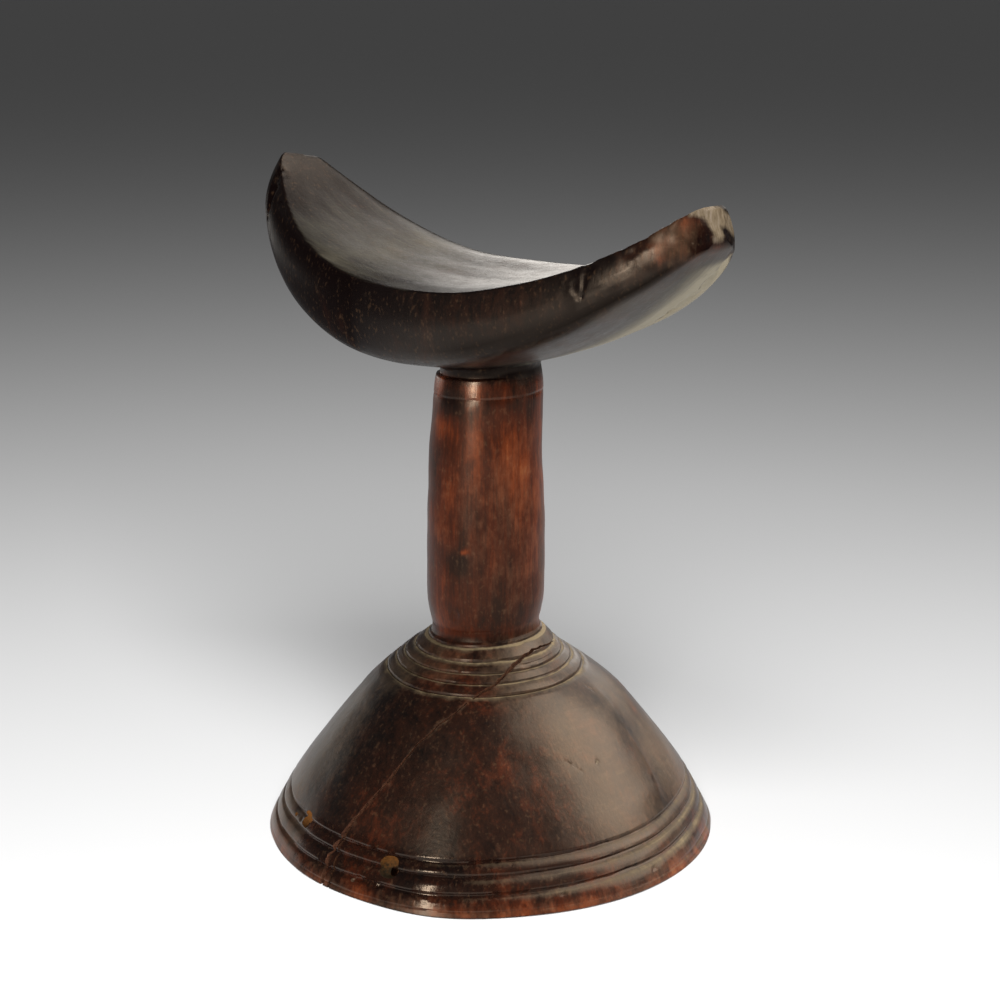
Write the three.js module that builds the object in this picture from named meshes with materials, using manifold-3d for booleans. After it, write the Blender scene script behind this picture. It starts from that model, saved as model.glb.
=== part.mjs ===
// A carved wooden headrest, cut from one block: a hollowed, domed foot with incised rings,
// a stout round column and a crescent saddle for the head.
// Millimetres, +Z up, saddle along X, origin under the middle of the whole piece.
import * as THREE from "three";
import { mergeVertices } from "three/addons/utils/BufferGeometryUtils.js";
import Module from "manifold-3d";

// Driving sizes. Headings are degrees round the upright axis, from +X towards +Y.
const FOOT_RADIUS = 60.2;
const FOOT_EDGE_ROUNDING = 0.4;
const FOOT_RING_INNER = 50; // the flat ring that the headrest stands on runs from here outwards
const HOLLOW_HEIGHT = 34; // of the hollow under the foot
const FOOT_TOP = 54.3; // where the foot meets the column
const COLUMN_TOP = 124; // where the column meets the neck under the saddle
const NECK_RADIUS = 13;
const SADDLE_HALF_LENGTH = 79.6; // along its curve, from the middle to either tip
const SADDLE_LOW = 148.3; // height of the middle of its top face
const AXIS_X = 2.6; // the foot and column stand this far from the middle of the whole piece

// Carved by eye: the rings climb towards this heading, and the upper part stands back from it.
const CLIMB_HEADING = 45.7;
const CLIMB_HEIGHTS = [0, 5, 50, FOOT_TOP, 119];
const CLIMB_DEGREES = [0, 1.1, 1, 3.4, 2.4];
const LEAN_HEIGHTS = [36, 50, 57, 104, COLUMN_TOP];
const LEANS = [0, -1.65, -1.3, -1.25, -0.3];

const ROUND_SIDES = 60;
const SADDLE_STATIONS = 38;

const degrees = THREE.MathUtils.degToRad;

// Straight-line interpolation in a pair of lists.
function between(at, places, values) {
  for (let i = 1; i < places.length; i++)
    if (at <= places[i]) {
      const part = Math.max(0, (at - places[i - 1]) / (places[i] - places[i - 1]));
      return values[i - 1] + part * (values[i] - values[i - 1]);
    }
  return values[values.length - 1];
}

// The one smooth curve through five values at even stations from -1 to 1.
function throughFive(values, at) {
  const stations = [-1, -0.5, 0, 0.5, 1];
  return values.reduce((sum, value, i) => {
    const others = stations.filter((_, j) => j !== i);
    const share = others.reduce((p, s) => (p * (at - s)) / (stations[i] - s), 1);
    return sum + value * share;
  }, 0);
}

// Foot and column, as one round profile.

// The foot's outside without its grooves: a band at the bottom, a swelling dome and a shoulder.
const footOutline = new THREE.SplineCurve(
  [
    [FOOT_RADIUS, FOOT_EDGE_ROUNDING],
    [57.7, 5.5],
    [54, 12],
    [48.2, 20.4],
    [42, 28.6],
    [35.2, 36.8],
    [29.7, 42],
    [24.8, 46],
    [19.8, 50],
    [15.3, FOOT_TOP],
  ].map(([radius, height]) => new THREE.Vector2(radius, height)),
);
const OUTLINE_LENGTH = footOutline.getLength();
// Heights of the incised rings, with the width and depth of each.
const BAND_RINGS = { heights: [5.4, 9.3, 12.3], width: 1.7, depth: 0.9 };
const SHOULDER_RINGS = { heights: [44.8, 47, 49, 51.3], width: 1.3, depth: 0.7 };

// Share of the outline's length at which it reaches a height.
function outlineShare(height) {
  let low = 0;
  let high = 1;
  while (high - low > 1e-5) {
    const middle = (low + high) / 2;
    if (footOutline.getPointAt(middle).y < height) low = middle;
    else high = middle;
  }
  return low;
}

function footRadius(height) {
  return footOutline.getPointAt(outlineShare(height)).x;
}

// A point of the outline, sunk squarely into the wood by a depth.
function sunkPoint(share, depth) {
  const at = THREE.MathUtils.clamp(share, 0, 1);
  const along = footOutline.getTangentAt(at);
  const inwards = new THREE.Vector2(-along.y, along.x);
  return footOutline.getPointAt(at).addScaledVector(inwards, depth);
}

// The outside of the foot from the bottom edge to the column, with its grooves.
function footPoints() {
  const places = [[0, 0]];
  for (const rings of [BAND_RINGS, SHOULDER_RINGS])
    for (const height of rings.heights) {
      const share = outlineShare(height);
      const half = rings.width / 2 / OUTLINE_LENGTH;
      places.push([share - half, 0], [share, rings.depth], [share + half, 0]);
    }
  for (const height of [17, 22, 27, 32, 36.5, 40.5]) places.push([outlineShare(height), 0]);
  for (const height of [2.8, 7.3, 10.8, 52.8]) places.push([outlineShare(height), 0]);
  places.sort((a, b) => a[0] - b[0]);
  return places.map(([share, depth]) => sunkPoint(share, depth));
}

// The hollow under the foot, from inside the flat ring up to its crown.
const HOLLOW_POINTS = [
  [0, -5],
  [FOOT_RING_INNER + 3, -5],
  [FOOT_RING_INNER, 0],
  [46, 8],
  [38, 18],
  [28, 26],
  [16, 31.5],
  [0, HOLLOW_HEIGHT],
];
// A barrel-shaped column: a pinched ring where it leaves the foot, a crease near its top, and the neck.
const COLUMN_POINTS = [
  [14.2, 55.2],
  [14.15, 57],
  [14.75, 60],
  [15.4, 64],
  [15.6, 70],
  [15.4, 80],
  [15.1, 92],
  [14.7, 104],
  [14.3, 112],
  [14.2, 118.3],
  [13.8, 119],
  [14.1, 119.7],
  [13.7, COLUMN_TOP - 0.4],
  [NECK_RADIUS, COLUMN_TOP],
  [NECK_RADIUS, 137],
  [0, 138],
];

// Tips the rings up towards the climbing side, on a foot whose outside stays upright,
// and sets the upper part back from that side.
function carvedByEye(geometry) {
  const heading = degrees(CLIMB_HEADING);
  const place = geometry.getAttribute("position");
  for (let i = 0; i < place.count; i++) {
    const height = place.getZ(i);
    const radius = Math.hypot(place.getX(i), place.getY(i));
    const side = place.getX(i) * Math.cos(heading) + place.getY(i) * Math.sin(heading);
    const climb = side * Math.tan(degrees(between(height, CLIMB_HEIGHTS, CLIMB_DEGREES)));
    const onFoot = radius > 0 && height < CLIMB_HEIGHTS[2];
    const spread = onFoot ? 1 + (footRadius(height + climb) - footRadius(height)) / radius : 1;
    const lean = between(height, LEAN_HEIGHTS, LEANS);
    place.setXYZ(
      i,
      place.getX(i) * spread + lean * Math.cos(heading),
      place.getY(i) * spread + lean * Math.sin(heading),
      height + climb,
    );
  }
}

function turned(profile) {
  const points = profile.map(([radius, height]) => new THREE.Vector2(radius, height));
  const geometry = new THREE.LatheGeometry(points, ROUND_SIDES);
  geometry.rotateX(Math.PI / 2);
  return geometry;
}

function footAndColumn() {
  const base = [
    [0, 0],
    [FOOT_RADIUS - FOOT_EDGE_ROUNDING, 0],
  ];
  const foot = footPoints().map((point) => [point.x, point.y]);
  const geometry = turned([...base, ...foot, ...COLUMN_POINTS]);
  carvedByEye(geometry);
  return geometry;
}

// Closed skin over a row of rings that have the same number of points, with flat ends.
function loft(rings) {
  const count = rings[0].length;
  const middles = [rings[0], rings[rings.length - 1]].map((ring) =>
    ring.reduce((sum, point) => sum.add(point), new THREE.Vector3()).divideScalar(count),
  );
  const points = [...rings.flat(), ...middles];
  const index = [];
  for (let row = 0; row < rings.length - 1; row++)
    for (let i = 0; i < count; i++) {
      const a = row * count + i;
      const b = row * count + ((i + 1) % count);
      index.push(a, b, a + count, b, b + count, a + count);
    }
  const last = (rings.length - 1) * count;
  for (let i = 0; i < count; i++) {
    const next = (i + 1) % count;
    index.push(points.length - 2, next, i, points.length - 1, last + i, last + next);
  }
  const geometry = new THREE.BufferGeometry().setFromPoints(points);
  geometry.setIndex(index);
  return geometry;
}

// The saddle, along its curve from the left tip (-1) to the right tip (1).
const SLOPES = [-50.5, -18.6, 0, 16.4, 41.6]; // degrees, at the tips, the quarter points and the middle
const THICKNESSES = [13.2, 21.8, 22.6, 16.9, 8.6]; // at the same places
const TOP_FACE = { half: 28.3, tip: 6.4, taper: 2.26 };
const UNDERSIDE = { half: 27.2, tip: 6.7, taper: 2.43 };
const KEEL = 3.7; // how far the underside swells below its edges in the middle
const SIDE_SWELL = 1.8;
const EDGE_ROUNDING = 1.4; // of the top face's edges
const UNDERSIDE_SHORTER = 4.4; // at each tip, along the curve
const SADDLE_ROLL = 1.1; // degrees, the far long side up
const LEFT_TIP_SKEW = 0.094;
const LEFT_TIP_LIFT = 0.18;
const SADDLE_OFFSET = -1.4; // along the same heading as the lean

// Points along the top face's middle line, found by following its slope.
function saddleLine(count) {
  const steps = 40;
  const line = [];
  let x = 0;
  let z = 0;
  const fine = [];
  for (let i = -steps; i <= steps; i++) fine.push(i / steps);
  const walked = fine.map((at, i) => {
    if (i > 0) {
      const slope = degrees(throughFive(SLOPES, at - 0.5 / steps));
      x += (Math.cos(slope) * SADDLE_HALF_LENGTH) / steps;
      z += (Math.sin(slope) * SADDLE_HALF_LENGTH) / steps;
    }
    return [x, z];
  });
  const [middleX, middleZ] = walked[steps];
  for (let i = 0; i < count; i++) {
    const at = -0.998 * Math.cos((Math.PI * i) / (count - 1)); // closer together at the tips
    line.push({
      at,
      x: between(at, fine, walked.map((p) => p[0])) - middleX,
      z: between(at, fine, walked.map((p) => p[1])) - middleZ,
    });
  }
  return line;
}

// Half width of a face at a station: full in the middle, blunt at the tips, the left tip squarer.
function halfWidth(face, at) {
  const out = Math.abs(at);
  const square = at < 0 ? Math.cbrt(1 - out ** 70) : (1 - out ** 24) ** 0.385;
  return (face.half - face.tip) * (1 - out ** face.taper) + face.tip * square;
}

// One cross-section as [across, down] pairs, round from the near top edge.
function saddleSection(at) {
  const thick = throughFive(THICKNESSES, at);
  const top = halfWidth(TOP_FACE, at);
  const bottom = halfWidth(UNDERSIDE, at);
  const keel = Math.min(KEEL * (1 - at * at), thick * 0.7);
  const rounding = Math.min(EDGE_ROUNDING, top * 0.4);
  const swell = SIDE_SWELL * Math.sqrt(1 - at ** 10);
  const halfSection = [
    [0, 0],
    [0.55 * (top - rounding), 0],
    [top - rounding, 0],
    [top - 0.3 * rounding, 0.3 * rounding],
  ];
  for (const down of [0.1, 0.4, 0.75, 1]) {
    const across = top + (bottom - top) * down + swell * 4 * down * (1 - down);
    halfSection.push([across, down * (thick - keel)]);
  }
  for (const across of [0.8, 0.55, 0.28])
    halfSection.push([across * bottom, thick - keel * across * across]);
  const near = halfSection.slice(1).map(([across, down]) => [-across, down]);
  return [...near, [0, thick], ...halfSection.reverse()];
}

function saddle() {
  const heading = degrees(CLIMB_HEADING);
  const rings = saddleLine(SADDLE_STATIONS).map(({ at, x, z }) => {
    const slope = degrees(throughFive(SLOPES, at));
    const thick = throughFive(THICKNESSES, at);
    const left = at < 0 ? 1 : 0;
    return saddleSection(at).map(([across, down]) => {
      const along = (-UNDERSIDE_SHORTER * at * down) / thick;
      return new THREE.Vector3(
        x + down * Math.sin(slope) + along * Math.cos(slope) + left * LEFT_TIP_SKEW * across * at ** 4,
        across,
        z - down * Math.cos(slope) + along * Math.sin(slope) - left * LEFT_TIP_LIFT * across * at ** 8,
      );
    });
  });
  const geometry = loft(rings);
  geometry.rotateX(degrees(SADDLE_ROLL));
  geometry.translate(SADDLE_OFFSET * Math.cos(heading), SADDLE_OFFSET * Math.sin(heading), SADDLE_LOW);
  return geometry;
}

// Age: a split that runs from the shoulder rings down to the foot's edge, and two old
// repair holes beside it. Each place is [heading, height] on the foot, then the split's width.
const SPLIT = [
  [37, 51.3, 0.5],
  [1, 52.1, 1],
  [-21, 50.2, 1.2],
  [-36.7, 47.2, 1.1],
  [-47.3, 45.3, 0.7],
  [-57.4, 42.5, 0.5],
  [-74, 34.2, 0.5],
  [-80.2, 25.4, 0.7],
  [-87.4, 14.6, 0.9],
  [-90.6, 6.9, 1.1],
  [-89.7, -1, 1.4],
];
const SPLIT_DEPTH = 2;
const REPAIR_HOLES = [
  { heading: -104.4, height: 11.3, radius: 1.6 },
  { heading: -70.2, height: 9.2, radius: 1.9 },
];
const REPAIR_HOLE_DEPTH = 3;

// A place on the foot's outside and the direction that faces squarely out of it.
function footPlace(heading, height) {
  const step = 0.5;
  const at = Math.max(height, FOOT_EDGE_ROUNDING);
  const slope = (footRadius(at + step) - footRadius(at)) / step;
  const turn = degrees(heading);
  const out = new THREE.Vector3(Math.cos(turn), Math.sin(turn), -slope).normalize();
  const radius = footRadius(at);
  const place = new THREE.Vector3(radius * Math.cos(turn), radius * Math.sin(turn), height);
  const lean = between(height, LEAN_HEIGHTS, LEANS);
  place.x += lean * Math.cos(degrees(CLIMB_HEADING));
  place.y += lean * Math.sin(degrees(CLIMB_HEADING));
  return { place, out };
}

// A long thin wedge that follows the split and tapers to nothing inside the wood.
function splitWedge() {
  const rings = SPLIT.map(([heading, height, width], i) => {
    const { place, out } = footPlace(heading, height);
    const from = footPlace(...SPLIT[Math.max(i - 1, 0)]).place;
    const to = footPlace(...SPLIT[Math.min(i + 1, SPLIT.length - 1)]).place;
    const side = to.sub(from).cross(out).normalize();
    const rim = 1; // reaches this far out of the wood
    const half = (width / 2) * (1 + rim / SPLIT_DEPTH);
    const outer = place.clone().addScaledVector(out, rim);
    return [
      outer.clone().addScaledVector(side, -half),
      outer.clone().addScaledVector(side, half),
      place.clone().addScaledVector(out, -SPLIT_DEPTH),
    ];
  });
  return loft(rings);
}

function repairHole({ heading, height, radius }) {
  const { place, out } = footPlace(heading, height);
  const geometry = new THREE.CylinderGeometry(radius, radius, 2 * REPAIR_HOLE_DEPTH, 10);
  const turn = new THREE.Quaternion().setFromUnitVectors(new THREE.Vector3(0, 1, 0), out);
  geometry.applyQuaternion(turn);
  geometry.translate(place.x, place.y, place.z);
  return geometry;
}

// Joining and cutting.
const solids = await Module();
solids.setup();

function solidFrom(geometry) {
  geometry.deleteAttribute("normal");
  geometry.deleteAttribute("uv");
  const merged = mergeVertices(geometry, 1e-4);
  return new solids.Manifold(
    new solids.Mesh({
      numProp: 3,
      vertProperties: merged.getAttribute("position").array,
      triVerts: new Uint32Array(merged.index.array),
    }),
  );
}

function geometryFrom(solid) {
  const mesh = solid.getMesh();
  const geometry = new THREE.BufferGeometry();
  geometry.setAttribute("position", new THREE.BufferAttribute(mesh.vertProperties, 3));
  geometry.setIndex(new THREE.BufferAttribute(mesh.triVerts, 1));
  geometry.computeVertexNormals();
  return geometry;
}

let carved = solidFrom(footAndColumn()).add(solidFrom(saddle()));
carved = carved.subtract(solidFrom(turned(HOLLOW_POINTS)));
carved = carved.subtract(solidFrom(splitWedge()));
for (const hole of REPAIR_HOLES) carved = carved.subtract(solidFrom(repairHole(hole)));

// Dark hardwood, polished by handling.
const wood = new THREE.MeshStandardMaterial({ color: 0x3b1f15, roughness: 0.35, metalness: 0 });
const headrest = new THREE.Mesh(geometryFrom(carved), wood);
headrest.name = "headrest";
headrest.position.x = AXIS_X;

const part = new THREE.Group();
part.add(headrest);
export default part;
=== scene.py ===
import math

import bmesh
import bpy
import numpy as np
from mathutils import Matrix, Vector, kdtree, noise


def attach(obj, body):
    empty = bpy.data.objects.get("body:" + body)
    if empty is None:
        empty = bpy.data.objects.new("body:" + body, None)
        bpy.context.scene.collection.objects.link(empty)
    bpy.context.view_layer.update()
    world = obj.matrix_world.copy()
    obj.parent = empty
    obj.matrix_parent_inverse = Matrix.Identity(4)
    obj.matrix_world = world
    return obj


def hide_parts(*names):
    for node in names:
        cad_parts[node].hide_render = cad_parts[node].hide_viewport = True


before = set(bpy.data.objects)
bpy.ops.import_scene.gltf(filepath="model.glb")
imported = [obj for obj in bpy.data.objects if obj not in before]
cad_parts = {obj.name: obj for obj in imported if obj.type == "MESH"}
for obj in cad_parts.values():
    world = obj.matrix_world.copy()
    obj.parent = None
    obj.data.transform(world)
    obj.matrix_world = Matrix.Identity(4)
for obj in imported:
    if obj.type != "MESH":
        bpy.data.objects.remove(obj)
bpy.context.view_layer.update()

# The foot and the column. One upright round form of dense dark hardwood, hewn with an adze from
# the same block as the rest: a hollowed, domed foot with incised rings and a barrel column.
# Sizes are millimetres until the mesh is made, and headings turn from +X towards +Y.
AXIS_X = 2.6
# The rings climb towards one heading, and the middle of the column leans away from it.
LEAN_HEADING = math.radians(45.7)
CLIMB_HEIGHTS = [0, 5, 50, 54.3, 119]
CLIMB_DEGREES = [0, 1.1, 1, 3.4, 2.4]
LEAN_HEIGHTS = [36, 50, 57, 104, 124]
LEANS = [0, -1.65, -1.3, -1.25, -0.3]
FOOT_OUTLINE = [(60.12, 0.4), (57.7, 5.5), (54, 12), (48.2, 20.4), (42, 28.6), (35.2, 36.8),
                (29.7, 42), (24.8, 46), (19.8, 50), (15.3, 54.3)]
COLUMN_OUTLINE = [(15.3, 54.3), (14.3, 55.0), (14.1, 56.2), (14.2, 57.4), (14.75, 60), (15.4, 64),
                  (15.6, 70), (15.4, 80), (15.1, 92), (14.7, 104), (14.35, 112), (14.2, 118)]
COLLAR_OUTLINE = [(14.2, 118), (14.15, 118.6), (14.1, 119.4), (14.0, 121.5), (13.75, 123.5),
                  (13.4, 123.9), (12.7, 124.1), (12.7, 124.8), (13, 126), (14, 128), (13.5, 137)]
NECK_HEIGHTS = [119.4, 121.5, 124, 126, 128, 137]
NECK_RADII = [14.1, 13.9, 13.5, 13.2, 14, 13.5]
HOLLOW_OUTLINE = [(2, 33.9), (8, 33.3), (16, 31.5), (22, 29.3), (28, 26), (33.5, 22.4), (38, 18),
                  (42.5, 13.2), (46, 8), (48.6, 3.2), (50, 0.4), (50.5, 0), (55, 0), (59, 0),
                  (59.8, 0.08)]
# Places round the form, and the step from row to row, finer where a line is incised.
HEADINGS = 320
ROW_STEP = 1.45
FINE_ROW_STEP = 0.28

# How dust lies in an incised line: along its lower lip, the strength, breadth and place of a
# bright line, then the strength and breadth of a film.
BAND_DUST = (0.8, 0.27, 0.3, 0.72, 0.62)
SHOULDER_DUST = (1.15, 0.27, 0.3, 0.4, 0.34)
JOINT_DUST = (1.4, 0.6, 0.4, 0.4, 0.7)
# Height, width, depth and dust of each incised line: a scribed line over the rim, three in the
# band, four on the shoulder, the joint with the column, and two scribed lines on the column.
RINGS = [(1.7, 0.6, 0.16, BAND_DUST), (5.4, 2.4, 0.85, BAND_DUST), (9.3, 2.3, 0.8, BAND_DUST),
         (12.3, 2.1, 0.75, BAND_DUST), (44.8, 1.3, 0.55, SHOULDER_DUST),
         (47.0, 1.2, 0.5, SHOULDER_DUST), (49.0, 1.2, 0.5, SHOULDER_DUST),
         (51.3, 1.2, 0.55, SHOULDER_DUST), (54.3, 1.5, 0.5, JOINT_DUST), (57.6, 0.7, 0.2, None),
         (119.0, 1.1, 0.18, None)]
SCRIBED_DEPTH = 0.3
# The knife went down steeply above a line and came out flat below: the share of its width.
STEEP_SHARE = 0.24
# How far from its middle a line is worked out. The mesh is fine within the next reach of a line,
# from a little ahead of it, and from the last line on over the collar.
RING_REACH = 3.2
FINE_REACH = 1.6
FINE_AHEAD = 0.3
COLLAR_REACH = 7.5
# How far the foot stands out from a true round: a heading, the turn it reaches over, millimetres.
SWELLS = [(-57, 15, 1.5), (23, 15, -1.0), (-112, 10, -0.5)]
# The step between neck and column is cut round this heading alone. Elsewhere they run together,
# as the cosine of the turn from it falls from the first value to the second.
STEP_HEADING = math.radians(-98)
STEP_FADES = (0.62, 0.27)


def through(points, per_span):
    """A smooth curve through the points, as an array with per_span steps between each two."""
    points = np.array(points, float)
    before = np.vstack([points[:1], points[:-2]])
    after = np.vstack([points[2:], points[-1:]])
    start, end = points[:-1], points[1:]
    rows = []
    for step in np.arange(per_span) / per_span:
        pull_in = 0.5 * (end - before)
        pull_out = 0.5 * (after - start)
        rows.append((2 * start - 2 * end + pull_in + pull_out) * step**3
                    + (3 * end - 3 * start - 2 * pull_in - pull_out) * step**2
                    + pull_in * step + start)
    curve = np.stack(rows, 1).reshape(-1, 2)
    return np.vstack([curve, points[-1:]])


def between(values, start, end):
    """Goes from 0 to 1 as the values go from start to end, which may also be below start."""
    return np.clip((values - start) / (end - start), 0, 1)


def zone(values, start, full, last, end):
    """1 where the values lie from full to last, fading to 0 at start and at end."""
    return between(values, start, full) * between(values, end, last)


def cloud(points, size, seed):
    """Smooth random values, about -1 to 1, that change over the given size in millimetres."""
    shift = Vector((seed * 7.3, seed * 3.1, seed * 5.7))
    scaled = (points / size).reshape(-1, 3)
    values = [noise.noise(Vector(place) + shift) for place in scaled]
    return np.array(values).reshape(points.shape[:-1])


foot_curve = through(FOOT_OUTLINE, 60)
outer_curve = np.vstack([foot_curve[:-1], through(COLUMN_OUTLINE, 40)[:-1],
                         through(COLLAR_OUTLINE, 20)])
outer_steps = np.linalg.norm(np.diff(outer_curve, axis=0), axis=1)
outer_arc = np.concatenate([[0], np.cumsum(outer_steps)])
ring_arcs = [np.interp(height, outer_curve[:, 1], outer_arc) for height, _, _, _ in RINGS]


def foot_radius(height):
    """Radius of the foot's outside at a height."""
    return np.interp(height, foot_curve[:, 1], foot_curve[:, 0])


def lean_of(height):
    """How far the middle of the round form lies from its axis at a height."""
    return np.interp(height, LEAN_HEIGHTS, LEANS)


def round_place(heading, height, out=0.0):
    """The place on the foot or column at a heading in degrees and a height, or out from it."""
    turn = math.radians(heading)
    radius = np.interp(height, outer_curve[:, 1], outer_curve[:, 0]) + out
    lean = lean_of(height)
    return np.array([AXIS_X + radius * math.cos(turn) + lean * math.cos(LEAN_HEADING),
                     radius * math.sin(turn) + lean * math.sin(LEAN_HEADING), height])


def ring_cut(arcs, headings):
    """Depth of the incised lines at each place, and the dust in them, under 0 for painted shade in the
    cut.
    """
    places = np.stack([np.cos(headings) * 30, np.sin(headings) * 30, 0 * arcs], -1)
    depth, dust_and_shade = np.zeros_like(arcs), np.zeros_like(arcs)
    for number, ((_, width, deepest, lying), centre) in enumerate(zip(RINGS, ring_arcs)):
        near = np.abs(arcs - centre) < RING_REACH
        spots = places[near]
        wander = 0.2 * cloud(spots, 14, number) + 0.07 * cloud(spots, 2.5, number + 20)
        breadth = width * (1 + 0.25 * cloud(spots, 9, number + 40))
        above = arcs[near] - centre - wander
        wall = np.clip(above / (STEEP_SHARE * breadth), 0, 1)
        slope = np.clip(-above / ((1 - STEEP_SHARE) * breadth), 0, 1)
        cut = np.where(above > 0, 1 - wall, (1 - slope) ** 2 * (1 + 2 * slope))
        scribed = deepest < SCRIBED_DEPTH
        if scribed:
            uneven = np.clip(0.6 + 2 * cloud(spots, 16, number + 80), 0.15, 1.2)
        else:
            uneven = 1 + 0.3 * cloud(spots, 6, number + 60)
        depth[near] = np.maximum(depth[near], deepest * cut * uneven)
        if lying is None:
            continue
        line_strength, line_breadth, line_place, film_strength, film_breadth = lying
        line = line_strength * np.exp(-((above + line_place * breadth) / line_breadth) ** 2)
        film = film_strength * np.exp(-((above + 0.5 * breadth) / film_breadth) ** 2)
        settled = np.maximum(line, film)
        if scribed:
            settled *= 0.6 * uneven
        # Painted shade: the bottom of each cut is darkened where no dust lies.
        painted_shade = np.clip(1.3 - np.abs(above + 0.05 * breadth) / (0.3 * breadth), 0, 1)
        broken = np.clip(1.0 + 0.6 * cloud(spots, 4, number + 90), 0, 1)
        mark = settled * broken - painted_shade * (1 - settled)
        dust_and_shade[near] = np.where(np.abs(mark) > np.abs(dust_and_shade[near]), mark, dust_and_shade[near])
    return depth, dust_and_shade


def outline_rows():
    """Places of the mesh's rows along the outline, close together where a line is incised."""
    rows = [0.0]
    collar_start, collar_end = ring_arcs[-1], ring_arcs[-1] + COLLAR_REACH
    while rows[-1] < outer_arc[-1]:
        near = min(abs(rows[-1] + FINE_AHEAD - centre) for centre in ring_arcs) < FINE_REACH
        near = near or collar_start < rows[-1] < collar_end
        rows.append(rows[-1] + (FINE_ROW_STEP if near else ROW_STEP))
    rows[-1] = outer_arc[-1]
    return np.array(rows)


def round_rows():
    """The foot and column as rows of places, hollow first, and how dusty each place is, under 0 where
    the cuts are painted dark as shade.
    """
    headings = np.linspace(0, 2 * np.pi, HEADINGS, endpoint=False)
    cosines, sines = np.cos(headings), np.sin(headings)
    hollow = []
    for radius, height in HOLLOW_OUTLINE:
        places = np.stack([radius * cosines, radius * sines, 0 * cosines + height], -1)
        hewn = 0.9 * cloud(places, 9, 3) * min(1, height / 6)
        places[:, :2] *= (1 + hewn / max(radius, 8))[:, None]
        places[:, 2] += 0.7 * hewn
        hollow.append(places)
    arcs, turns = np.meshgrid(outline_rows(), headings, indexing="ij")
    radius = np.interp(arcs, outer_arc, outer_curve[:, 0])
    height = np.interp(arcs, outer_arc, outer_curve[:, 1])
    depth, dust_and_shade = ring_cut(arcs, turns)
    smooth = between(np.cos(turns - STEP_HEADING), *STEP_FADES) * (height > NECK_HEIGHTS[0])
    radius = radius + smooth * (np.interp(height, NECK_HEIGHTS, NECK_RADII) - radius)
    low = zone(height, 0, 0.3, 9, 54)
    for heading, reach, out in SWELLS:
        turned = np.degrees(np.angle(np.exp(1j * (turns - math.radians(heading)))))
        radius = radius + low * out * np.exp(-((turned / reach) ** 2))
    run = (np.interp(arcs + 0.2, outer_arc, outer_curve[:, 0])
           - np.interp(arcs - 0.2, outer_arc, outer_curve[:, 0]))
    rise = (np.interp(arcs + 0.2, outer_arc, outer_curve[:, 1])
            - np.interp(arcs - 0.2, outer_arc, outer_curve[:, 1]))
    length = np.hypot(run, rise)
    side = radius * np.cos(turns - LEAN_HEADING)
    climb = side * np.tan(np.radians(np.interp(height, CLIMB_HEIGHTS, CLIMB_DEGREES)))
    spread = np.where(height < 50, foot_radius(height + climb) - foot_radius(height), 0)
    above_rim = between(height, 0.8, 3.8)
    radius = radius + spread - depth * rise / length
    height = height + climb + above_rim * depth * run / length
    places = np.stack([radius * np.cos(turns), radius * np.sin(turns), height], -1)
    hewn = above_rim * (0.3 * cloud(places, 17, 5) + 0.13 * cloud(places, 7, 6))
    places[..., :2] *= (1 + hewn / np.maximum(radius, 8))[..., None]
    places[..., 0] += lean_of(height) * math.cos(LEAN_HEADING)
    places[..., 1] += lean_of(height) * math.sin(LEAN_HEADING)
    rows = np.concatenate([np.array(hollow), places])
    rows[..., 0] += AXIS_X
    dust_and_shade = np.concatenate([np.zeros((len(hollow), HEADINGS)), dust_and_shade])
    return rows, dust_and_shade


def closed_mesh(name, rows, dust_and_shade):
    """A closed mesh over rows of rings, with a middle place at each end."""
    count, around = rows.shape[:2]
    places = np.vstack([rows.reshape(-1, 3), rows[0].mean(0), rows[-1].mean(0)])
    faces = []
    for row in range(count - 1):
        low, high = row * around, (row + 1) * around
        for i in range(around):
            j = (i + 1) % around
            faces.append((low + i, low + j, high + j, high + i))
    for i in range(around):
        j = (i + 1) % around
        faces.append((count * around, j, i))
        faces.append((count * around + 1, high + i, high + j))
    mesh = bpy.data.meshes.new(name)
    mesh.from_pydata((places * 0.001).tolist(), [], faces)
    known = mesh.attributes.new("known", "FLOAT", "POINT")
    known.data.foreach_set("value", np.ones(len(places), np.float32))
    layer = mesh.attributes.new("dust_and_shade", "FLOAT", "POINT")
    values = np.concatenate([dust_and_shade.reshape(-1), [0, 0]]).astype(np.float32)
    layer.data.foreach_set("value", values)
    shape = bmesh.new()
    shape.from_mesh(mesh)
    if shape.calc_volume(signed=True) < 0:
        mesh.flip_normals()
    shape.free()
    piece = bpy.data.objects.new(name, mesh)
    bpy.context.scene.collection.objects.link(piece)
    return piece


headrest = closed_mesh("carved_headrest", *round_rows())

# The saddle. The crescent that holds the head, left thick over the column and thinned towards
# two unlike tips, with a keel along its underside. Long use has rounded its near upper edge.
# Places along it are given as -1 at the left tip, 0 in the middle and 1 at the right tip.
SADDLE_HALF_LENGTH = 79.6
SADDLE_LOW = 148.3
SLOPES = [-50.5, -18.6, 0, 16.4, 41.6]
THICKNESSES = [13.2, 21.8, 22.6, 16.9, 8.6]
# Half the width in the middle and at the tips, and how late it narrows.
TOP_FACE = (28.3, 6.4, 2.26)
UNDERSIDE = (27.2, 6.7, 2.43)
# How square each tip ends, as the powers of a rounded square.
LEFT_TIP_SQUARE = (70, 1 / 3)
RIGHT_TIP_SQUARE = (24, 0.385)
KEEL = 3.7
SIDE_SWELL = 1.8
UNDERSIDE_SHORTER = 4.4
SADDLE_ROLL = math.radians(1.1)
SADDLE_OFFSET = -1.4
LEFT_TIP_SKEW = 0.094
LEFT_TIP_LIFT = 0.18
TIP_ROUNDING = 1.6
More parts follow.
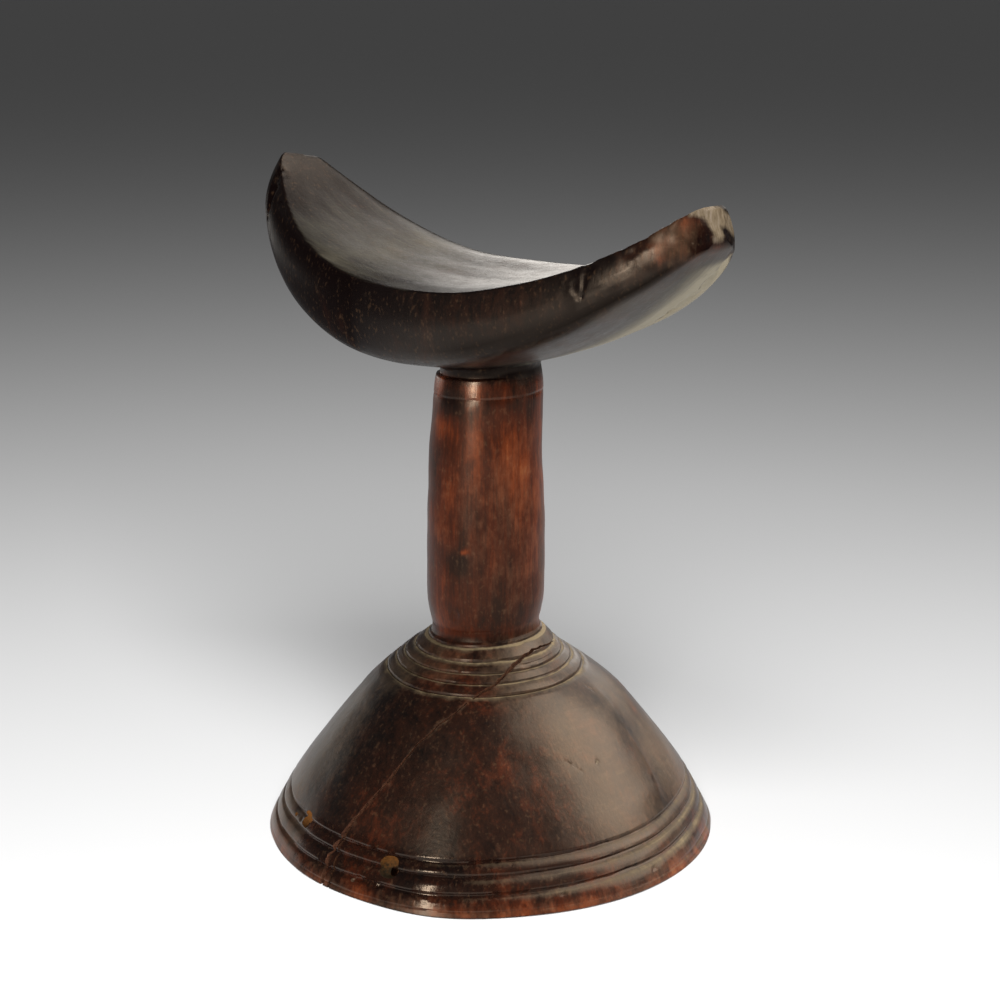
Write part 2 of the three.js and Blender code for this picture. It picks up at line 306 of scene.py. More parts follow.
# Roundness of the near edge in the middle, how much less it is at the tips, and how much broader
# the wear is left of the middle, with the place and reach of that. The far edge is still crisp.
NEAR_EDGE = 4.2
NEAR_EDGE_LESS = 3.1
WORN_BROAD = 2.6
WORN_PLACE = -0.33
WORN_REACH = 0.38
FAR_EDGE = 0.45
# The far half of the top stands a little higher in the middle.
FAR_LIFT = 1.6
FAR_LIFT_REACH = 26
# Cross-sections from tip to tip, the place of the last, just short of the tip, the sizes of the
# rings that close each end, and the steps that the curve along the top is worked out in.
SADDLE_STATIONS = 160
LAST_STATION = 0.998
CLOSING_SIZES = (0.2, 0.45, 0.75)
CURVE_STEPS = 1600
# Mesh steps over the top, the upper edge, the side, the lower edge and the underside.
STEPS_ACROSS = (14, 10, 8, 8, 13)


def through_five(values, at):
    """A smooth value from five, given at both tips, halfway to each and in the middle."""
    return np.polyval(np.polyfit([-1, -0.5, 0, 0.5, 1], values, 4), at)


def half_width(face, at):
    """Half the width of the top face or the underside at a place along the saddle."""
    half, tip, taper = face
    power, root = LEFT_TIP_SQUARE if at < 0 else RIGHT_TIP_SQUARE
    out = abs(at)
    return (half - tip) * (1 - out**taper) + tip * (1 - out**power) ** root


def saddle_section(at, thick):
    """One cross-section as places across and down, with its edges worn round."""
    top, bottom = half_width(TOP_FACE, at), half_width(UNDERSIDE, at)
    keel = min(KEEL * (1 - at * at), 0.7 * thick)
    swell = SIDE_SWELL * math.sqrt(1 - at**10)
    down = np.linspace(0, 1, 25)
    across = np.linspace(0, 1, 33)
    over = np.stack([across[:-1] * top, 0 * across[:-1]], 1)
    side = np.stack([top + (bottom - top) * down + swell * 4 * down * (1 - down),
                     down * (thick - keel)], 1)
    under = np.stack([across[::-1][1:] * bottom, thick - keel * across[::-1][1:] ** 2], 1)
    half = np.vstack([over, side, under])
    closed = np.vstack([half, half[1:-1][::-1] * [-1, 1], half[:1]])
    steps = np.linalg.norm(np.diff(closed, axis=0), axis=1)
    arc = np.concatenate([[0], np.cumsum(steps)])
    upper, lower, end = arc[len(over)], arc[len(over) + len(side) - 1], arc[len(half) - 1]
    firm = min(NEAR_EDGE - NEAR_EDGE_LESS * abs(at) ** 3, 0.22 * top)
    soft = firm + WORN_BROAD * math.exp(-(((at - WORN_PLACE) / WORN_REACH) ** 2))
    halves = []
    for edge in (soft, FAR_EDGE):
        limits = [0, upper - 2.6 * edge, upper + 2.2 * edge,
                  lower - 2 * firm, lower + 2.5 * firm, end]
        halves.append(np.concatenate([np.linspace(limits[i], limits[i + 1], count, endpoint=False)
                                      for i, count in enumerate(STEPS_ACROSS)]))
    marks = np.concatenate([halves[0], [end], (arc[-1] - halves[1][1:])[::-1]])
    fine = np.linspace(0, arc[-1], 700, endpoint=False)
    dense = np.stack([np.interp(fine, arc, closed[:, k]) for k in (0, 1)], 1)
    away = np.abs(fine[None] - marks[:, None])
    away = np.minimum(away, arc[-1] - away)
    from_upper = np.minimum(np.abs(marks - upper), np.abs(arc[-1] - marks - upper))
    from_lower = np.minimum(np.abs(marks - lower), np.abs(arc[-1] - marks - lower))
    radius = np.where(marks < end, soft, FAR_EDGE)
    radius = np.where(from_lower < from_upper, 0.45 * firm, radius)[:, None]
    weight = np.exp(-0.5 * (away / radius) ** 2)
    return (weight @ dense) / weight.sum(1, keepdims=True)


def saddle_rows():
    """The saddle as rows of places from its left tip to its right."""
    walk = np.linspace(-1, 1, CURVE_STEPS + 1)
    slope = np.radians(through_five(SLOPES, (walk[1:] + walk[:-1]) / 2))
    step = SADDLE_HALF_LENGTH * 2 / CURVE_STEPS
    line = np.zeros((CURVE_STEPS + 1, 2))
    line[1:, 0] = np.cumsum(np.cos(slope) * step)
    line[1:, 1] = np.cumsum(np.sin(slope) * step)
    line -= line[CURVE_STEPS // 2]
    even = np.linspace(-1, 1, SADDLE_STATIONS)
    rows = []
    for at in LAST_STATION * (0.75 * even + 0.25 * np.sin(even * np.pi / 2)):
        thick = through_five(THICKNESSES, at)
        turn = math.radians(through_five(SLOPES, at))
        section = saddle_section(at, thick)
        inside = max(0, 1 - (LAST_STATION - abs(at)) * SADDLE_HALF_LENGTH / TIP_ROUNDING)
        drawn_in = 1.6 * TIP_ROUNDING / thick * (1 - math.sqrt(1 - inside**2))
        across = section[:, 0]
        down = 0.5 * thick + (section[:, 1] - 0.5 * thick) * (1 - drawn_in)
        along = -UNDERSIDE_SHORTER * at * down / thick
        x = np.interp(at, walk, line[:, 0]) + down * math.sin(turn) + along * math.cos(turn)
        z = np.interp(at, walk, line[:, 1]) - down * math.cos(turn) + along * math.sin(turn)
        if at < 0:
            x = x + LEFT_TIP_SKEW * across * at**4
            z = z - LEFT_TIP_LIFT * across * at**8
        rows.append(np.stack([x, across, z], 1))
    left_cap, right_cap = ([row.mean(0) + (row - row.mean(0)) * size for size in CLOSING_SIZES]
                           for row in (rows[0], rows[-1]))
    rows = np.array(left_cap + rows + right_cap[::-1])
    roll = np.array(Matrix.Rotation(SADDLE_ROLL, 3, "X"))
    rows = rows @ roll.T
    rows += [AXIS_X + SADDLE_OFFSET * math.cos(LEAN_HEADING),
             SADDLE_OFFSET * math.sin(LEAN_HEADING), SADDLE_LOW]
    ripple = 0.12 * cloud(rows * [0.25, 1, 1], 5, 11) + 0.25 * cloud(rows, 18, 12)
    rows[..., 2] += ripple * (np.abs(rows[..., 0]) < 70)
    lift = FAR_LIFT * between(rows[..., 1], -5, 25)
    rows[..., 2] += lift * np.exp(-((rows[..., 0] / FAR_LIFT_REACH) ** 2))
    return rows[:, ::-1]


saddle_places = saddle_rows()
saddle = closed_mesh("saddle", saddle_places, np.zeros(saddle_places.shape[:2]))


def combine(piece, other, how):
    """Joins or cuts the piece with another closed mesh, whose material marks the cut faces."""
    change = piece.modifiers.new(how, "BOOLEAN")
    change.operation = how
    change.solver = "MANIFOLD"
    change.material_mode = "TRANSFER"
    change.object = other
    bpy.context.view_layer.update()
    ready = piece.evaluated_get(bpy.context.evaluated_depsgraph_get())
    mesh = bpy.data.meshes.new_from_object(ready)
    piece.modifiers.clear()
    old = piece.data
    piece.data = mesh
    bpy.data.meshes.remove(old)
    bpy.data.objects.remove(other)


def places_of(piece):
    """The piece's vertices in millimetres."""
    values = np.empty(len(piece.data.vertices) * 3, np.float32)
    piece.data.vertices.foreach_get("co", values)
    return values.reshape(-1, 3).astype(float) * 1000


def set_places(piece, places):
    """Moves the piece's vertices to places in millimetres."""
    piece.data.vertices.foreach_set("co", (places * 0.001).astype(np.float32).reshape(-1))
    piece.data.update()


# One block. Saddle and column are one timber, and the knife left a small hollow curve where the
# saddle's underside runs into the neck.
NECK_CURVE = 2.4
NECK_CURVE_ROUNDS = 14
NECK_BOTTOM = 120
NECK_TOP = 140


def soften_joint(piece):
    """Smooths the mesh close to where the neck enters the saddle."""
    values = np.empty(len(piece.data.vertices), np.float32)
    piece.data.attributes["known"].data.foreach_get("value", values)
    places = places_of(piece)
    seam = places[(values < 0.5) & (places[:, 2] > NECK_BOTTOM)]
    tree = kdtree.KDTree(len(seam))
    for number, place in enumerate(seam):
        tree.insert(place, number)
    tree.balance()
    near = [i for i, place in enumerate(places)
            if NECK_BOTTOM < place[2] < NECK_TOP and tree.find(place)[2] < NECK_CURVE]
    bm = bmesh.new()
    bm.from_mesh(piece.data)
    bm.verts.ensure_lookup_table()
    chosen = [bm.verts[i] for i in near]
    for _ in range(NECK_CURVE_ROUNDS):
        bmesh.ops.smooth_vert(bm, verts=chosen, factor=0.5, use_axis_x=True, use_axis_y=True,
                              use_axis_z=True)
    bm.to_mesh(piece.data)
    bm.free()


combine(headrest, saddle, "UNION")
soften_joint(headrest)

# The marks of use. Dents, nicks and chips that the wood took over the years, each a line between
# two places with its widths there and a depth. The mesh is made finer round them first.
NICKS = [
    # The cut in the saddle's upper edge, wide above and narrow below.
    ((55.1, -20.2, 158.0), (54.7, -22.4, 150.6), (2.1, 0.4), 0.45),
    ((52.5, -22.5, 153.6), (54.0, -22.4, 150.8), (2.0, 1.0), 0.25),
    # The left tip's splintered edge.
    ((-69.6, -14.8, 161.5), (-69.0, -14.9, 158.6), (1.4, 0.8), 0.7),
    ((-66.9, -12.9, 170.2), (-67.2, -14.0, 166.9), (1.1, 0.6), 0.5),
    ((-66.6, -10.6, 173.0), (-66.8, -12.0, 170.9), (0.9, 0.9), 0.4),
    # A long scratch inside the left edge, and a chip under the right wing.
    ((-60.4, -17.2, 163.4), (-54.0, -19.7, 159.7), (0.5, 0.3), 0.2),
    ((52.0, 9.4, 142.4), (54.6, 10.4, 143.4), (1.7, 1.2), 0.9),
    # The dome's pit, its spots and its scratches.
    (round_place(-3.8, 29.0), round_place(-4.6, 28.7), (0.6, 0.6), 0.3),
    (round_place(18.3, 42.3), round_place(18.9, 41.6), (0.5, 0.5), 0.3),
    (round_place(-72.4, 18.5), round_place(-72.0, 18.1), (0.5, 0.5), 0.3),
    (round_place(-61.2, 22.4), round_place(-60.4, 22.9), (0.4, 0.4), 0.3),
    (round_place(-17.0, 31.0), round_place(-11.0, 27.6), (0.35, 0.25), 0.1),
    (round_place(-14.2, 49.6), round_place(-3.2, 49.5), (0.5, 0.4), 0.25),
    # Chips in the rim and the beads of the band.
    (round_place(-79, 4.6), round_place(-80.6, 4.0), (1.0, 0.6), 0.6),
    (round_place(-72.9, 4.4), round_place(-73.6, 3.7), (0.7, 0.7), 0.5),
    (round_place(-60, 2.6), round_place(-65, 1.6), (0.8, 0.5), 0.35),
    (round_place(-26.4, 4.3), round_place(-27.4, 4.0), (0.6, 0.4), 0.35),
    (round_place(1.0, 4.2), round_place(0, 3.9), (0.6, 0.4), 0.35),
]
DENTS = [
    # The hollows on both sides of the cut.
    ((51.2, -21.9, 155.6), (51.8, -22.4, 153.6), (2.6, 2.2), 0.15),
    ((61.2, -19.0, 158.6), (59.6, -20.0, 156.6), (3.8, 3.2), 0.12),
    # The left edge, worn hollow below its tip.
    ((-67.6, -14.6, 167.0), (-68.4, -14.9, 162.0), (3.4, 2.6), 1.1),
    # Knocks on the column, and a hollow between the two holes on the left.
    (round_place(-62, 79.5), round_place(-70, 79.0), (2.0, 1.6), 0.1),
    (round_place(-75, 62), round_place(-77, 61), (1.5, 1.5), 0.3),
    (round_place(-109, 11.6), round_place(-108.6, 9.6), (1.2, 1.0), 0.4),
]
# Where knocks have left the surface uneven: a line, its reach, the depth and the knocks' size.
KNOCKED = [((65, -17, 162), (76, -7, 168), 5, 0.45, 2.5),
           ((75, -8, 168), (77, 4, 165), 5, 0.35, 2.4),
           ((52, 9.5, 142), (77, 7, 161), 3.2, 0.95, 2.8),
           ((-66, -12, 172), (-70, -15, 158), 3, 0.5, 2.6)]
# A low ridge that the adze left down the dome, by headings and heights. It falls off slowly on
# its left and sharply on its right.
RIDGE = [(13.8, 13), (17.8, 22.4), (19.4, 34.2), (24, 44.3)]
RIDGE_HEIGHT = 0.8
RIDGE_REACH = (9, 3.6)
# How far past its widths a ragged mark may reach, how much further the mesh is made finer, and
# the longest edge there.
MARK_REACH = 1.4
FINE_ROUND = 0.6
FINE_EDGE = 0.55


def from_line(places, start, end, widths=(1, 1)):
    """Distance of each place from the line between two places, over the line's width there."""
    start, end = np.array(start, float), np.array(end, float)
    way = end - start
    share = np.clip((places - start) @ way / (way @ way), 0, 1)
    away = np.linalg.norm(places - start - share[:, None] * way, axis=1)
    return away / (widths[0] + (widths[1] - widths[0]) * share)


def make_finer(piece, lines, longest):
    """Halves the edges near the given lines until none of them is longer than allowed."""
    for _ in range(3):
        places = places_of(piece)
        near = np.zeros(len(places), bool)
        for start, end, reach in lines:
            near |= from_line(places, start, end) < reach
        bm = bmesh.new()
        bm.from_mesh(piece.data)
        bm.verts.ensure_lookup_table()
        edges = [edge for edge in bm.edges
                 if near[edge.verts[0].index] and near[edge.verts[1].index]
                 and edge.calc_length() * 1000 > longest]
        bmesh.ops.subdivide_edges(bm, edges=edges, cuts=1)
        bmesh.ops.triangulate(bm, faces=[face for face in bm.faces if len(face.verts) > 4])
        bm.to_mesh(piece.data)
        bm.free()


def normals_of(piece):
    """Which way the surface faces at each of the piece's vertices."""
    values = np.empty(len(piece.data.vertices) * 3, np.float32)
    piece.data.vertex_normals.foreach_get("vector", values)
    return values.reshape(-1, 3)


def press_marks(piece):
    """Sinks the nicks, dents and knocks into the surface, and raises the ridge."""
    places, normals = places_of(piece), normals_of(piece)
    sunk = np.zeros(len(places))
    for marks, bend in ((NICKS, 1), (DENTS, 2)):
        for number, (start, end, widths, depth) in enumerate(marks):
            away = from_line(places, start, end, widths)
            near = away < MARK_REACH
            rough = 1 + 0.35 * cloud(places[near], 1.6, number)
            shape = np.clip(1 - (away[near] * rough) ** bend, 0, 1) ** bend
            sunk[near] = np.maximum(sunk[near], depth * shape)
    for start, end, reach, depth, size in KNOCKED:
        away = from_line(places, start, end) / reach
        near = away < 1
        uneven = np.clip(0.5 + cloud(places[near], size, 17), 0, 1)
        sunk[near] += depth * uneven * (1 - away[near] ** 2) ** 2
    height = places[:, 2]
    heading = np.degrees(np.arctan2(places[:, 1], places[:, 0] - AXIS_X))
    line = np.array(RIDGE)
    beyond = np.radians(heading - np.interp(height, line[:, 1], line[:, 0]))
    beyond *= np.hypot(places[:, 0] - AXIS_X, places[:, 1])
    reach = np.where(beyond > 0, RIDGE_REACH[1], RIDGE_REACH[0])
    raised = RIDGE_HEIGHT * np.exp(-np.abs(beyond) / reach) * (normals[:, 2] > 0)
    raised *= zone(height, 13.4, 18.4, 38.2, 44.2)
    set_places(piece, places + normals * (raised - sunk)[:, None])


marked = [(start, end, widths[0] * MARK_REACH + FINE_ROUND)
          for start, end, widths, _ in NICKS + DENTS]
make_finer(headrest, marked, FINE_EDGE)
press_marks(headrest)

# The split. The foot has opened along its grain from the shoulder down to the rim, wide and dark
# through the shoulder's rings, a fine pale line across the dome, and double at the rim. Each part
# is a heading, a height and a width at places down it.
SPLIT = [(37, 51.3, 0.15), (15.7, 52, 0.3), (1, 52.1, 0.5), (-11, 51.3, 0.7), (-21, 50.2, 0.95),
         (-29.7, 48.8, 1.0), (-36.7, 47.2, 0.8), (-42.3, 46.2, 0.7), (-47.3, 45.3, 0.5),
         (-53, 43.9, 0.25)]
SEAM = [(-55, 43.3, 0.2), (-67, 38.6, 0.4), (-74, 34.2, 0.5), (-77.4, 29.8, 0.55),
        (-80.2, 25.4, 0.65), (-84, 20.2, 0.8), (-87.4, 14.6, 0.95), (-89.2, 10.4, 1.1),
        (-90.6, 6.9, 1.2), (-90.2, 4.1, 1.2), (-89.7, -1.5, 1.2)]
SIDE_SPLIT = [(-86.6, 15.2, 0.3), (-87.2, 12.9, 0.6), (-87.9, 10, 0.7), (-87.5, 6.7, 0.6),
              (-87.4, 2.5, 0.6), (-87.6, -1.5, 0.5)]
SPLIT_STEP = 0.7
SPLIT_DEPTH = 0.9
SEAM_DEPTH = 1.6
SIDE_SPLIT_DEPTH = 1.4
# How far the cutting wedge stands out of the surface, and half the width of its edge inside.
WEDGE_OUT = 1.2
WEDGE_EDGE = 0.04
# How far a split strays from its line, in short and in long waves, and the radius of the foot
# about where it is.
SHORT_JAG = 0.22
LONG_JAG = 0.12
SPLIT_RADIUS = 40


def split_line(route, step):
    """Places down the middle of a split, with its width at each, jagged along the grain."""
    route = np.array(route, float)
    places = np.array([round_place(heading, height) for heading, height, _ in route])
    lengths = np.concatenate([[0], np.cumsum(np.linalg.norm(np.diff(places, axis=0), axis=1))])
    line = []
    for number, at in enumerate(np.arange(0, lengths[-1], step)):
        heading, height, width = (np.interp(at, lengths, route[:, k]) for k in range(3))
        jag = SHORT_JAG * noise.noise(Vector((at * 0.35, number * 0.45, 4)))
        jag += LONG_JAG * noise.noise(Vector((at * 0.12, 2, 4)))
        line.append((heading + math.degrees(jag / SPLIT_RADIUS), height + jag, width))
    return line


def split_wedge(name, route, depth):
    """A jagged wedge that follows a split, to cut it with."""
    line = split_line(route, SPLIT_STEP)
    middles = np.array([round_place(heading, height) for heading, height, _ in line])
    ways = np.gradient(middles, axis=0)
    rows = []
    for (heading, height, width), middle, way in zip(line, middles, ways):
        normal = round_place(heading, height, 1) - middle
        slope = (np.interp(height - 1, outer_curve[:, 1], outer_curve[:, 0])
                 - np.interp(height + 1, outer_curve[:, 1], outer_curve[:, 0])) / 2
        normal[2] = max(0, slope) if height > 0 else 0.3
        normal /= np.linalg.norm(normal)
        side = np.cross(normal, way / np.linalg.norm(way))
        side /= np.linalg.norm(side)
        uneven = width * (1 + 0.6 * noise.noise(Vector((height * 1.3, heading * 0.4, 9))))
        half = 0.5 * uneven * (depth + WEDGE_OUT) / depth
        outside, inside = middle + normal * WEDGE_OUT, middle - normal * depth
        rows.append([outside - side * half, outside + side * half,
                     inside + side * WEDGE_EDGE, inside - side * WEDGE_EDGE])
    rows = np.array(rows)
    return closed_mesh(name, rows, np.zeros(rows.shape[:2]))


def linear(colour):
    """An sRGB hex colour as the linear values that the renderer works in."""
    parts = [int(colour[i:i + 2], 16) / 255 for i in (1, 3, 5)]
    return tuple(p / 12.92 if p <= 0.04045 else ((p + 0.055) / 1.055) ** 2.4 for p in parts) + (1,)


def new_material(name):
    """An empty material, and the place on its object that its patterns are drawn by."""
    made = bpy.data.materials.new(name)
    made.use_nodes = True
    made.node_tree.nodes.clear()
    return made, node(made, "ShaderNodeTexCoord", {}, {}).outputs["Object"]


def node(material, kind, settings, inputs):
    """Adds a node with its settings, and gives each input a plain value or a link."""
    made = material.node_tree.nodes.new(kind)
    stops = settings.pop("stops", [])
    for name, value in settings.items():
        setattr(made, name, value)
    while stops and len(made.color_ramp.elements) < len(stops):
        made.color_ramp.elements.new(0.5)
    for element, (at, colour) in zip(made.color_ramp.elements if stops else [], stops):
        element.position = at
        element.color = linear(colour) if isinstance(colour, str) else (colour,) * 3 + (1,)
    for name, value in inputs.items():
        if isinstance(value, bpy.types.NodeSocket):
            material.node_tree.links.new(value, made.inputs[name])
        else:
            made.inputs[name].default_value = value
    return made


def grain(material, place, scale, size, detail, rough=0.5):
    """Cloudy pattern about size millimetres wide, drawn out where scale is under 1."""
    stretch = [1000 * part / size for part in scale]
    drawn = node(material, "ShaderNodeVectorMath", {"operation": "MULTIPLY"}, {0: place, 1: stretch})
    made = node(material, "ShaderNodeTexNoise", {},
                {"Vector": drawn.outputs[0], "Scale": 1.0, "Detail": detail, "Roughness": rough})
    return made.outputs["Fac"]


def sums(material, *terms):
    """The sum of outputs, each times a number, plus one plain number."""
    total = terms[-1]
    for output, factor in terms[:-1]:
        total = node(material, "ShaderNodeMath", {"operation": "MULTIPLY_ADD"},
                     {0: output, 1: factor, 2: total}).outputs[0]
    return total


def crumbly(name, low, high, share=1.0, per_metre=0.0, shift=0.0):
    """A matt, broken surface between two colours, which may also change with its height."""
    made, place = new_material(name)
    crumb = grain(made, place, (1, 1, 1), CRUMB_SIZE, 5, 0.7)
    height = node(made, "ShaderNodeSeparateXYZ", {}, {0: place}).outputs["Z"]
    source = sums(made, (crumb, share), (height, per_metre), shift)
    tint = node(made, "ShaderNodeValToRGB", {"stops": [(0.35, low), (0.7, high)]}, {0: source})
    raised = node(made, "ShaderNodeBump", {}, {"Strength": 0.7, "Distance": 0.0005, "Height": crumb})
    shader = node(made, "ShaderNodeBsdfPrincipled", {},
                  {"Base Color": tint.outputs[0], "Roughness": 0.8, "Specular IOR Level": 0.2,
                   "Normal": raised.outputs[0]})
    node(made, "ShaderNodeOutputMaterial", {}, {"Surface": shader.outputs[0]})
    return made


# Torn end grain that never took a polish. It is matt and rough: old and dark brown in the wide
# split, and a paler red-brown in the seam, where the edges still rub.
CRUMB_SIZE = 0.9
split_inside = crumbly("dark_split_hardwood", "#2c1a11", "#64402a")
seam_inside = crumbly("worn_red_split_hardwood", "#3a2015", "#744c37")

# The repair holes. Small holes were bored beside the split to lace it, and are stopped with an
# ochre paste that has sunk and cracked. Each is a heading, a height, a radius and a depth, and a
# dark lace hole has stayed open in both of the large ones.
HOLES = [(-105.5, 11.0, 2.0, 1.2), (-71.0, 8.8, 2.5, 1.5), (-112.5, 10.2, 1.0, 0.6)]
LACE_HOLES = [(-70.0, 8.0, 1.15, 4.5), (-104.6, 9.9, 0.7, 3)]
# How steeply the borer was held, the corners that a hole is drawn with, and how uneven it is.
BORER_RISE = 0.55
HOLE_CORNERS = 18
HOLE_UNEVEN = 0.16
# The mesh is made finer this far round the split and round each hole, to this longest edge, by
# a line along the split in steps of this length.
ROUND_SPLIT = 1.9
ROUND_HOLE = 1.5
CUT_FINE_EDGE = 0.6
LINE_STEP = 3
# Clay dried matt: ochre yellow above, and dirty brown towards the bottom of each hole.
paste = crumbly("ochre_clay_paste", "#2a2010", "#74481a", 0.7, 80, -0.56)


def bored_hole(name, heading, height, radius, depth):
    """A rough plug to cut a hole with, a little square as a knife leaves it."""
    middle = round_place(heading, height)
    outward = round_place(heading, height, 1) - middle
    outward[2] = BORER_RISE
    outward /= np.linalg.norm(outward)
    level = np.cross([0, 0, 1], outward)
    level /= np.linalg.norm(level)
    steep = np.cross(outward, level)
    rows = []
    for out, size in ((2.5, 1.15), (0.6, 1.1), (-0.5 * depth, 1.0), (-depth, 0.72)):
        ring = []
        for turn in np.linspace(0, 2 * math.pi, HOLE_CORNERS, endpoint=False):
            square = (abs(math.cos(turn)) ** 3 + abs(math.sin(turn)) ** 3) ** (-1 / 3)
            place = middle + outward * out
            reach = radius * size * square
            reach *= 1 + HOLE_UNEVEN * noise.noise(Vector((turn, out * 0.4, heading)))
            ring.append(place + reach * (math.cos(turn) * level + math.sin(turn) * steep))
        rows.append(ring)
    rows = np.array(rows)
    return closed_mesh(name, rows, np.zeros(rows.shape[:2]))


wood, wood_place = new_material("handled_dark_hardwood")
headrest.data.materials.clear()
headrest.data.materials.append(wood)
split_places, seam_places = (
    [round_place(heading, height) for heading, height, _ in split_line(route, LINE_STEP)]
    for route in (SPLIT, SEAM))
marked = [(start, end, ROUND_SPLIT) for route in (split_places, seam_places)
          for start, end in zip(route[:-1], route[1:])]
marked += [(round_place(heading, height), round_place(heading, height, 0.1), radius + ROUND_HOLE)
           for heading, height, radius, _ in HOLES]
make_finer(headrest, marked, CUT_FINE_EDGE)
for number, (heading, height, radius, depth) in enumerate(HOLES):
    plug = bored_hole("hole_%d" % number, heading, height, radius, depth)
    plug.data.materials.append(paste)
    combine(headrest, plug, "DIFFERENCE")
for number, (heading, height, radius, depth) in enumerate(LACE_HOLES):
    plug = bored_hole("lace_hole_%d" % number, heading, height, radius, depth)
    plug.data.materials.append(split_inside)
    combine(headrest, plug, "DIFFERENCE")
for name, route, depth, inside in (("split", SPLIT, SPLIT_DEPTH, split_inside),
                                   ("seam", SEAM, SEAM_DEPTH, seam_inside),
                                   ("side_split", SIDE_SPLIT, SIDE_SPLIT_DEPTH, split_inside)):
    wedge = split_wedge(name, route, depth)
    wedge.data.materials.append(inside)
    combine(headrest, wedge, "DIFFERENCE")

# The wood's colours. Hands and hair oil have turned it from red-brown to near black, the rim, the
# column and the right tip are worn back to red, and one corner of that tip is bare. On the round
# form a patch is a heading, a height, a reach and how much redder it is, or darker under 0. On the
# saddle it has a place in millimetres instead of the first two.
ROUND_PATCHES = [
    # The dome.
    (-112, 34, 22, -0.5), (-104, 45, 12, -0.15), (-77, 14.5, 6, 0.55), (-86, 20, 4, 0.2),
    (-52, 27, 10, 0.15), (-66, 40, 9, -0.15), (-95, 48, 9, 0.3), (-45, 41, 7, -0.15),
    (-68, 49, 9, 0.35), (-30, 26, 9, 0.3), (-24, 13, 9, -0.2), (30, 30, 12, -0.1),
    (39, 33, 2.4, 0.9),
    # The band and the rim.
    (-58, 8, 14, -0.4), (-95, 8, 10, -0.25), (-78, 2.6, 8, 0.25), (-56, 1.8, 6, 0.6),
    (-20, 2.4, 11, 0.5), (10, 3, 9, 0.5), (-38, 2, 5, 0.4), (-125, 3, 10, 0.3), (30, 3, 9, 0.4),
    (-105, 3, 12, 0.3),
    # The foot of the column.
    (-95, 56, 5, 0.45), (-65, 56, 5, 0.45), (-35, 56, 5, 0.45), (-64, 59, 9, -0.35),
    (-25, 59, 9, -0.3),
    # The column, with a pale scuff in the middle of its near side. The redder spot at heading -62,
    # height 94 is a painted highlight on the column's near left side.
    (-64, 79.3, 1.0, 0.9), (-67.5, 79, 0.7, 0.9), (-70, 76, 3.5, -0.5), (-48, 67, 9, -0.2),
    (-88, 66, 7, 0.2), (-94, 72, 9, -0.12), (-75, 90, 6, -0.2), (-62, 94, 7, 0.25),
    (-50, 100, 9, 0.2), (-10, 98, 9, 0.15), (-92, 101, 9, -0.2), (-55, 116, 5, -0.35),
    (-10, 113, 7, -0.15),
    # Its collar and the neck. The dark patch at height 127 is painted shade on the neck under the
    # saddle.
    (-93, 111.8, 4.5, 0.7), (-93, 117, 5, -0.8), (-50, 121.5, 5, 0.3), (-110, 121.5, 5, 0.4),
    (-20, 121.5, 8, -0.4), (-62, 127, 7, -0.5),
]
SADDLE_PATCHES = [
    # The near side over the neck, and a red spot on the left tip.
    ((-26, -28, 134), 9, 0.5), ((-33, -27, 139), 7, 0.25), ((-69.3, -14.5, 160.4), 1.8, 0.9),
    # The knocked right tip.
    ((74.7, -8.6, 167.7), 4.2, 0.5), ((72, -12.6, 165), 6, 0.5), ((67, -14, 163), 7, 0.45),
    ((73.5, -11, 160.5), 4, 0.5), ((76.4, -7.2, 164.8), 1.8, -0.2), ((77.5, 1, 165), 2.2, -0.2),
    ((77, -3, 165), 5, 0.55),
]
# Bare wood: a line between two places and its reach.
BARE = [
    # The right tip's corner and its end.
    ((75.2, -5.6, 171.2), (76.4, 1.5, 168.6), 2.4), ((76.4, 1.5, 168.4), (75.6, 6, 165.8), 2),
    ((76.6, -3.0, 168.6), (77.3, -2.0, 166.2), 1.9),
    ((75.4, -8.2, 163.6), (75.8, -7.6, 163.2), 0.7),
    # The chipped lower edge of the right wing, and the left tip's splinter.
    ((51.6, 9.2, 142.2), (53.6, 10, 143.2), 1.2), ((46, 11, 137.5), (62, 12.4, 149.4), 1.1),
    ((64, 12.4, 151.2), (74, 7, 159.2), 1.0), ((-69.6, -14.8, 161), (-69.2, -14.9, 159), 0.7),
    # The chip in the rim and the dome's pit.
    (round_place(-79, 4.6), round_place(-80.6, 4.0), 0.5),
    (round_place(-3.8, 29.0), round_place(-4.6, 28.7), 0.35),
]
# The dull film of dried oil, by heading, height, reach and strength, and once on the right tip.
# Its pale tan is also painted sheen: it lies where the lamps' broad sheen falls, down the dome's
# right, past the ridge, along the dome's left edge and on the right wing's side.
ROUND_FILM_AND_SHEEN = [(-4, 34, 13, 0.9), (0, 20, 14, 0.9), (-20, 48, 12, 0.6), (34, 22, 15, 1.25),
              (34, 38, 10, 1.0), (10, 8, 16, 0.6), (-125, 28, 18, 0.6), (10, 85, 26, 0.3),
              (20, 50, 12, 0.6), (-112, 47, 10, 0.7), (-78, 50, 8, 0.5), (-128, 9, 14, 0.95),
              (-112, 6, 8, 0.7)]
TIP_FILM_AND_SHEEN = ((72, -11, 165), 6, 0.75)
# Small faces that catch the light: a place, its reach and how much more it shines.
GLINTS = [((63.7, -17.7, 159.3), 2, 0.3), ((69.4, -14.2, 162.4), 1.5, 0.25),
          ((70.5, -13.8, 160.0), 1.2, 0.2), (round_place(-64, 121.3), 2.2, 0.45),
          (round_place(-64, 117.4), 1.3, 0.3)]
LIP_REACH = 1.5


def read_layer(piece, name):
    """The values of one of the piece's painted layers."""
    values = np.empty(len(piece.data.vertices), np.float32)
    piece.data.attributes[name].data.foreach_get("value", values)
    return values


